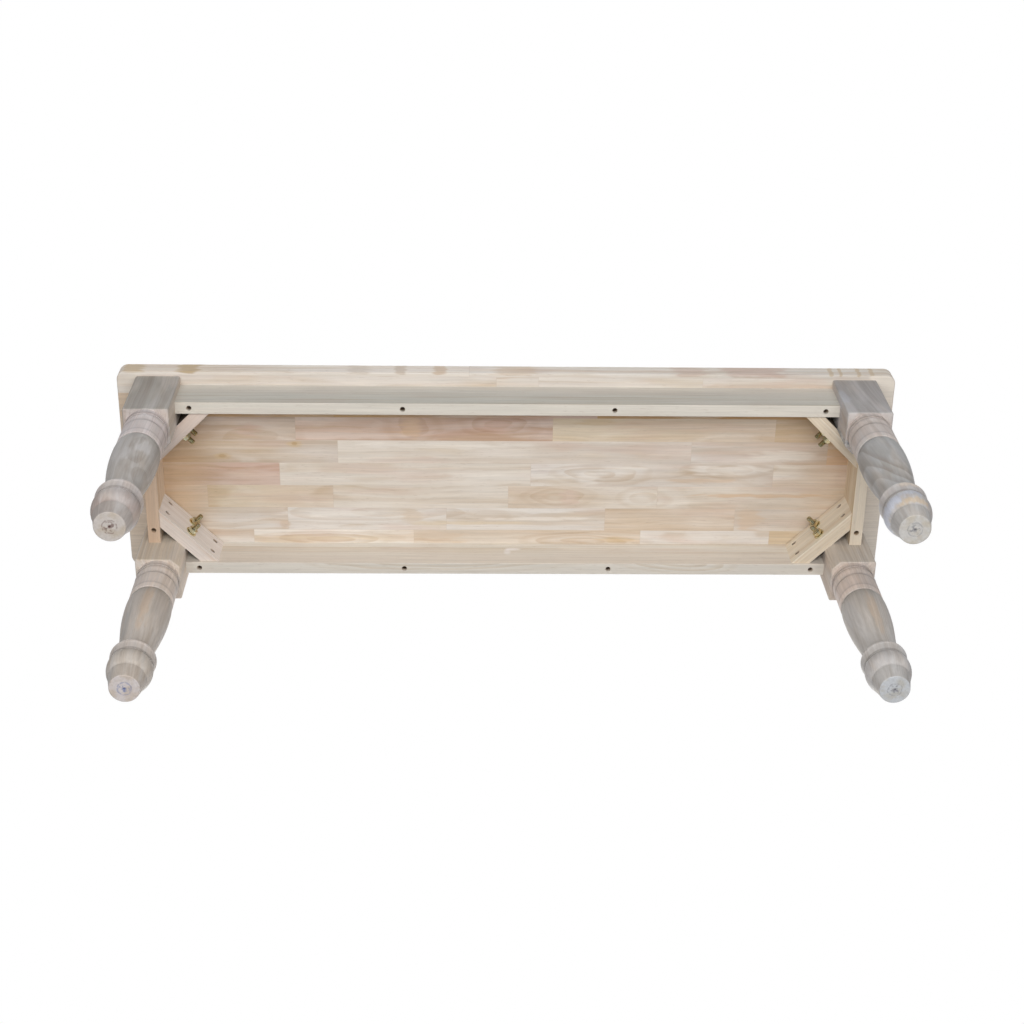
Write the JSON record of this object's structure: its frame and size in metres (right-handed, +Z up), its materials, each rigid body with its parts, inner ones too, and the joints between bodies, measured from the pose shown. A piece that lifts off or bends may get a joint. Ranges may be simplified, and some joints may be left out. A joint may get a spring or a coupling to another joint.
{
  "type": "dining bench",
  "caption": "Backless wooden dining bench: a glued stave seat on an apron frame with turned legs bolted to diagonal corner blocks.",
  "frame": {"origin": "on the floor under the middle of the seat", "axes": "+X along the seat's length, +Y from front to back, +Z up"},
  "size_m": [1.2, 0.335, 0.476],
  "materials": {
    "seat_wood": "sanded, unfinished",
    "apron_wood": "sanded, unfinished",
    "leg_wood": "turned and sanded, unfinished",
    "block_wood": "sawn, unfinished",
    "zinc_hardware": "yellow zinc plated",
    "screw_steel": "dull zinc plated"
  },
  "bodies": {
    "root": {"seat_stave_row_01": "seat_wood", "seat_stave_row_02": "seat_wood", "seat_stave_row_03": "seat_wood", "seat_stave_row_04": "seat_wood", "seat_stave_row_05": "seat_wood", "seat_stave_row_06": "seat_wood", "seat_stave_row_07": "seat_wood", "seat_stave_row_08": "seat_wood", "seat_stave_row_09": "seat_wood", "seat_stave_row_10": "seat_wood", "front_apron": "apron_wood", "back_apron": "apron_wood", "left_apron": "apron_wood", "right_apron": "apron_wood", "leg_back_right": "leg_wood", "leg_back_left": "leg_wood", "leg_front_right": "leg_wood", "leg_front_left": "leg_wood", "corner_block_back_right": "block_wood", "corner_block_back_left": "block_wood", "corner_block_front_right": "block_wood", "corner_block_front_left": "block_wood", "hanger_bolts": "zinc_hardware", "bolt_washers": "zinc_hardware", "bolt_nuts": "zinc_hardware", "corner_block_screws": "screw_steel", "seat_screws": "screw_steel"}
  },
  "joints": []
}
